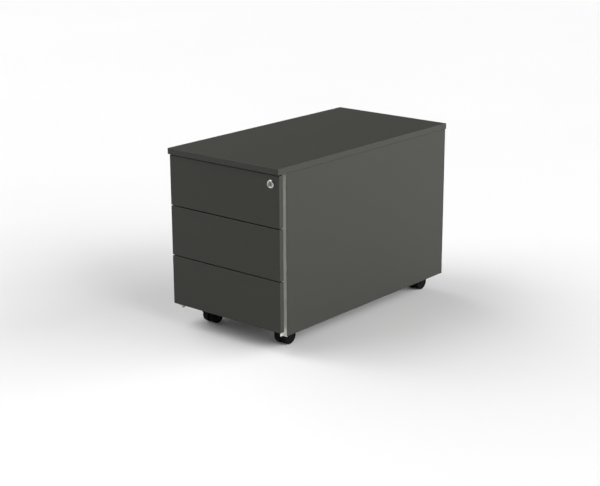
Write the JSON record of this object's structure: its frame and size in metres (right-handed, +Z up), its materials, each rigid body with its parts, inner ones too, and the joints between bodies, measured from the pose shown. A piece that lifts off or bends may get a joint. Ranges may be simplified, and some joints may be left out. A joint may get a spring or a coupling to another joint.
{
  "type": "rolling pedestal cabinet",
  "caption": "Under-desk drawer cabinet in dark board with aluminium side grip strips, central lock, steel drawer trays on telescopic slides and twin-wheel swivel casters.",
  "frame": {"origin": "on the floor, under the centre of the top panel", "axes": "+Z up, drawer fronts face -Y, +X to the cabinet's right seen from the front, the long side runs along Y"},
  "size_m": [0.424, 0.8, 0.544],
  "materials": {
    "board": "matt anthracite melamine on particle board",
    "edge_band": "anthracite plastic edge band",
    "grip_aluminium": "satin anodised",
    "slide_steel": "zinc plated sheet steel",
    "tray_steel": "light grey powder coat",
    "screw_steel": "zinc plated",
    "cam_zinc": "die-cast zinc",
    "dowel_wood": "fluted beech",
    "lock_nickel": "nickel plated, slightly worn",
    "caster_steel": "zinc plated",
    "caster_plastic": "black moulded nylon",
    "wheel_plastic": "black nylon, tread dulled by use"
  },
  "bodies": {
    "cabinet": {"top_panel": "board", "top_edge_bands": "edge_band", "left_side_panel": "board", "right_side_panel": "board", "side_edge_bands": "edge_band", "back_panel": "board", "bottom_panel": "board", "left_grip_profile": "grip_aluminium", "right_grip_profile": "grip_aluminium", "cam_locks": "cam_zinc", "cam_bolts": "screw_steel", "wood_dowels": "dowel_wood", "upper_cabinet_rails": "slide_steel", "middle_cabinet_rails": "slide_steel", "lower_cabinet_rails": "slide_steel", "rail_screws": "screw_steel", "lock_bar_guides": "slide_steel", "front_left_caster_plate": "caster_steel", "front_right_caster_plate": "caster_steel", "rear_left_caster_plate": "caster_steel", "rear_right_caster_plate": "caster_steel", "caster_screws": "screw_steel"},
    "upper_drawer": {"upper_drawer_front": "board", "upper_front_bands": "edge_band", "upper_drawer_tray": "tray_steel", "upper_drawer_rails": "slide_steel", "upper_drawer_fasteners": "screw_steel", "lock_housing": "lock_nickel", "lock_nut": "screw_steel"},
    "middle_drawer": {"middle_drawer_front": "board", "middle_front_bands": "edge_band", "middle_drawer_tray": "tray_steel", "middle_drawer_rails": "slide_steel", "middle_drawer_fasteners": "screw_steel"},
    "lower_drawer": {"lower_drawer_front": "board", "lower_front_bands": "edge_band", "lower_drawer_tray": "tray_steel", "lower_drawer_rails": "slide_steel", "lower_drawer_fasteners": "screw_steel"},
    "upper_slide_members": {"upper_middle_members": "slide_steel"},
    "middle_slide_members": {"middle_middle_members": "slide_steel"},
    "lower_slide_members": {"lower_middle_members": "slide_steel"},
    "lock_core": {"lock_plug": "lock_nickel"},
    "locking_bar": {"lock_bar": "slide_steel"},
    "front_left_swivel": {"front_left_caster_hood": "caster_plastic", "front_left_caster_axle": "caster_steel"},
    "front_left_left_wheel": {"front_left_wheel_left": "wheel_plastic"},
    "front_left_right_wheel": {"front_left_wheel_right": "wheel_plastic"},
    "front_right_swivel": {"front_right_caster_hood": "caster_plastic", "front_right_caster_axle": "caster_steel"},
    "front_right_left_wheel": {"front_right_wheel_left": "wheel_plastic"},
    "front_right_right_wheel": {"front_right_wheel_right": "wheel_plastic"},
    "rear_left_swivel": {"rear_left_caster_hood": "caster_plastic", "rear_left_caster_axle": "caster_steel"},
    "rear_left_left_wheel": {"rear_left_wheel_left": "wheel_plastic"},
    "rear_left_right_wheel": {"rear_left_wheel_right": "wheel_plastic"},
    "rear_right_swivel": {"rear_right_caster_hood": "caster_plastic", "rear_right_caster_axle": "caster_steel"},
    "rear_right_left_wheel": {"rear_right_wheel_left": "wheel_plastic"},
    "rear_right_right_wheel": {"rear_right_wheel_right": "wheel_plastic"}
  },
  "joints": [
    {"name": "upper_drawer_slide", "type": "slide", "parent": "cabinet", "child": "upper_drawer", "axis": [0, -1, 0], "range_m": [0, 0.6]},
    {"name": "middle_drawer_slide", "type": "slide", "parent": "cabinet", "child": "middle_drawer", "axis": [0, -1, 0], "range_m": [0, 0.6]},
    {"name": "lower_drawer_slide", "type": "slide", "parent": "cabinet", "child": "lower_drawer", "axis": [0, -1, 0], "range_m": [0, 0.6]},
    {"name": "upper_member_slide", "type": "slide", "parent": "cabinet", "child": "upper_slide_members", "axis": [0, -1, 0], "range_m": [0, 0.3]},
    {"name": "middle_member_slide", "type": "slide", "parent": "cabinet", "child": "middle_slide_members", "axis": [0, -1, 0], "range_m": [0, 0.3]},
    {"name": "lower_member_slide", "type": "slide", "parent": "cabinet", "child": "lower_slide_members", "axis": [0, -1, 0], "range_m": [0, 0.3]},
    {"name": "lock_turn", "type": "hinge", "parent": "upper_drawer", "child": "lock_core", "pos_m": [0.179, -0.394, 0.497], "axis": [0, -1, 0], "range_deg": [0, 90]},
    {"name": "locking_bar_lift", "type": "slide", "parent": "cabinet", "child": "locking_bar", "axis": [0, 0, 1], "range_m": [0, 0.00707]},
    {"name": "front_left_caster_turn", "type": "hinge", "parent": "cabinet", "child": "front_left_swivel", "pos_m": [-0.1425, -0.317, 0.06], "axis": [0, 0, 1], "continuous": true},
    {"name": "front_left_left_wheel_spin", "type": "hinge", "parent": "front_left_swivel", "child": "front_left_left_wheel", "pos_m": [-0.156, -0.297, 0.025], "axis": [1, 0, 0], "continuous": true},
    {"name": "front_left_right_wheel_spin", "type": "hinge", "parent": "front_left_swivel", "child": "front_left_right_wheel", "pos_m": [-0.129, -0.297, 0.025], "axis": [1, 0, 0], "continuous": true},
    {"name": "front_right_caster_turn", "type": "hinge", "parent": "cabinet", "child": "front_right_swivel", "pos_m": [0.1425, -0.317, 0.06], "axis": [0, 0, 1], "continuous": true},
    {"name": "front_right_left_wheel_spin", "type": "hinge", "parent": "front_right_swivel", "child": "front_right_left_wheel", "pos_m": [0.129, -0.297, 0.025], "axis": [1, 0, 0], "continuous": true},
    {"name": "front_right_right_wheel_spin", "type": "hinge", "parent": "front_right_swivel", "child": "front_right_right_wheel", "pos_m": [0.156, -0.297, 0.025], "axis": [1, 0, 0], "continuous": true},
    {"name": "rear_left_caster_turn", "type": "hinge", "parent": "cabinet", "child": "rear_left_swivel", "pos_m": [-0.1425, 0.335, 0.06], "axis": [0, 0, 1], "continuous": true},
    {"name": "rear_left_left_wheel_spin", "type": "hinge", "parent": "rear_left_swivel", "child": "rear_left_left_wheel", "pos_m": [-0.156, 0.355, 0.025], "axis": [1, 0, 0], "continuous": true},
    {"name": "rear_left_right_wheel_spin", "type": "hinge", "parent": "rear_left_swivel", "child": "rear_left_right_wheel", "pos_m": [-0.129, 0.355, 0.025], "axis": [1, 0, 0], "continuous": true},
    {"name": "rear_right_caster_turn", "type": "hinge", "parent": "cabinet", "child": "rear_right_swivel", "pos_m": [0.1425, 0.335, 0.06], "axis": [0, 0, 1], "continuous": true},
    {"name": "rear_right_left_wheel_spin", "type": "hinge", "parent": "rear_right_swivel", "child": "rear_right_left_wheel", "pos_m": [0.129, 0.355, 0.025], "axis": [1, 0, 0], "continuous": true},
    {"name": "rear_right_right_wheel_spin", "type": "hinge", "parent": "rear_right_swivel", "child": "rear_right_right_wheel", "pos_m": [0.156, 0.355, 0.025], "axis": [1, 0, 0], "continuous": true}
  ],
  "couplings": [
    {"joint": "upper_member_slide", "follows": "upper_drawer_slide", "ratio": 0.5},
    {"joint": "middle_member_slide", "follows": "middle_drawer_slide", "ratio": 0.5},
    {"joint": "lower_member_slide", "follows": "lower_drawer_slide", "ratio": 0.5},
    {"joint": "lock_turn", "follows": "locking_bar_lift", "rad_per_m": 222.14}
  ]
}
